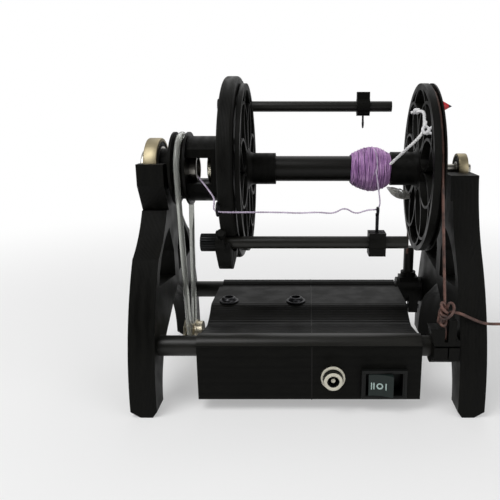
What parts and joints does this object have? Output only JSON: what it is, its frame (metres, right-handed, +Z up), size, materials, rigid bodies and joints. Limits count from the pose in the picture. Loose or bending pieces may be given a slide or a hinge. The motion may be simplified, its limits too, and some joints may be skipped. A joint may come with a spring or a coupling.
{
  "type": "electric yarn spinner",
  "caption": "Tabletop motorised flyer for spinning yarn: two side frames, a low motor housing, a belt-driven flyer with rods and hooks, and a lace-flanged bobbin with a cord brake.",
  "frame": {"origin": "floor under the middle of the spindle", "axes": "+X along the spindle from the orifice to the tail bearing, +Y from the control side to the back, +Z up"},
  "size_m": [0.1851, 0.1148, 0.1605],
  "materials": {
    "black_print": "satin, fine layer lines",
    "black_tube": "satin",
    "black_moulded": "gloss",
    "red_moulded": "gloss",
    "clear_belt": "translucent",
    "steel": "brushed",
    "bearing_steel": "ground",
    "dark_steel": "blackened",
    "chrome": "polished",
    "brass": "turned",
    "brown_cord": "waxed",
    "white_cord": "matte",
    "purple_yarn": "matte"
  },
  "bodies": {
    "stand": {"left_frame": "black_print", "right_frame": "black_print", "left_cradle": "black_print", "front_crossbar": "black_tube", "rear_crossbar": "black_tube", "motor_housing": "black_print", "control_housing": "black_print", "base_cover": "black_print", "cover_screws": "dark_steel", "motor_clamp_screws": "dark_steel", "motor_can": "steel", "motor_endcap": "black_moulded", "motor_screws": "dark_steel", "drive_band": "clear_belt", "dc_jack_body": "black_moulded", "dc_jack_nut": "chrome", "dc_jack_pin": "chrome", "switch_case": "black_moulded", "main_bearing_outer": "bearing_steel", "tail_bearing_outer": "bearing_steel", "rear_clamp": "black_print", "rear_clamp_screw": "dark_steel", "anchor_post": "black_tube", "brake_cord": "brown_cord", "brake_cord_tail": "brown_cord"},
    "flyer": {"main_bearing_inner": "bearing_steel", "tail_bearing_inner": "bearing_steel", "hollow_axle": "black_print", "orifice_tube": "steel", "drive_whorl": "black_print", "flyer_cage": "black_print", "cage_eyelet": "steel", "flyer_plate": "black_print", "spindle": "steel", "upper_rod": "black_tube", "lower_rod": "black_tube", "rod_knobs": "black_tube", "rod_set_screws": "black_print", "yarn_guide": "dark_steel", "yarn_strand": "purple_yarn"},
    "bobbin": {"bobbin_tube": "black_tube", "left_flange": "black_print", "right_flange": "black_print", "yarn_cop": "purple_yarn", "leader_cord": "white_cord", "leader_tail": "white_cord", "leader_stop": "red_moulded"},
    "upper_slider": {"upper_slider": "black_print", "upper_hook": "dark_steel"},
    "lower_slider": {"lower_slider": "black_print", "lower_hook": "dark_steel"},
    "rotor": {"motor_shaft": "steel", "motor_pulley": "brass"},
    "rocker": {"switch_rocker": "black_moulded"},
    "brake_clamp": {"brake_clamp": "black_print", "brake_cord_knot": "brown_cord"}
  },
  "joints": [
    {"name": "flyer_spin", "type": "hinge", "parent": "stand", "child": "flyer", "pos_m": [0, 0, 0.1135], "axis": [1, 0, 0], "continuous": true},
    {"name": "bobbin_spin", "type": "hinge", "parent": "flyer", "child": "bobbin", "pos_m": [0.015, 0, 0.1135], "axis": [1, 0, 0], "continuous": true},
    {"name": "upper_slide", "type": "slide", "parent": "flyer", "child": "upper_slider", "axis": [1, 0, 0], "range_m": [-0.05, 0.012]},
    {"name": "lower_slide", "type": "slide", "parent": "flyer", "child": "lower_slider", "axis": [1, 0, 0], "range_m": [-0.05, 0.01], "deforming": ["yarn_strand"]},
    {"name": "motor_spin", "type": "hinge", "parent": "stand", "child": "rotor", "pos_m": [-0.06, 0, 0.021], "axis": [1, 0, 0], "continuous": true},
    {"name": "rocker_tilt", "type": "hinge", "parent": "stand", "child": "rocker", "pos_m": [0.0371, -0.047, 0.015], "axis": [0, 0, 1], "range_deg": [0, 26]},
    {"name": "brake_turn", "type": "hinge", "parent": "stand", "child": "brake_clamp", "pos_m": [0.0648, -0.045, 0.032], "axis": [1, 0, 0], "range_deg": [-20, 40], "deforming": ["brake_cord", "brake_cord_tail"]}
  ],
  "couplings": [
    {"joint": "motor_spin", "follows": "flyer_spin", "ratio": 2.697}
  ]
}
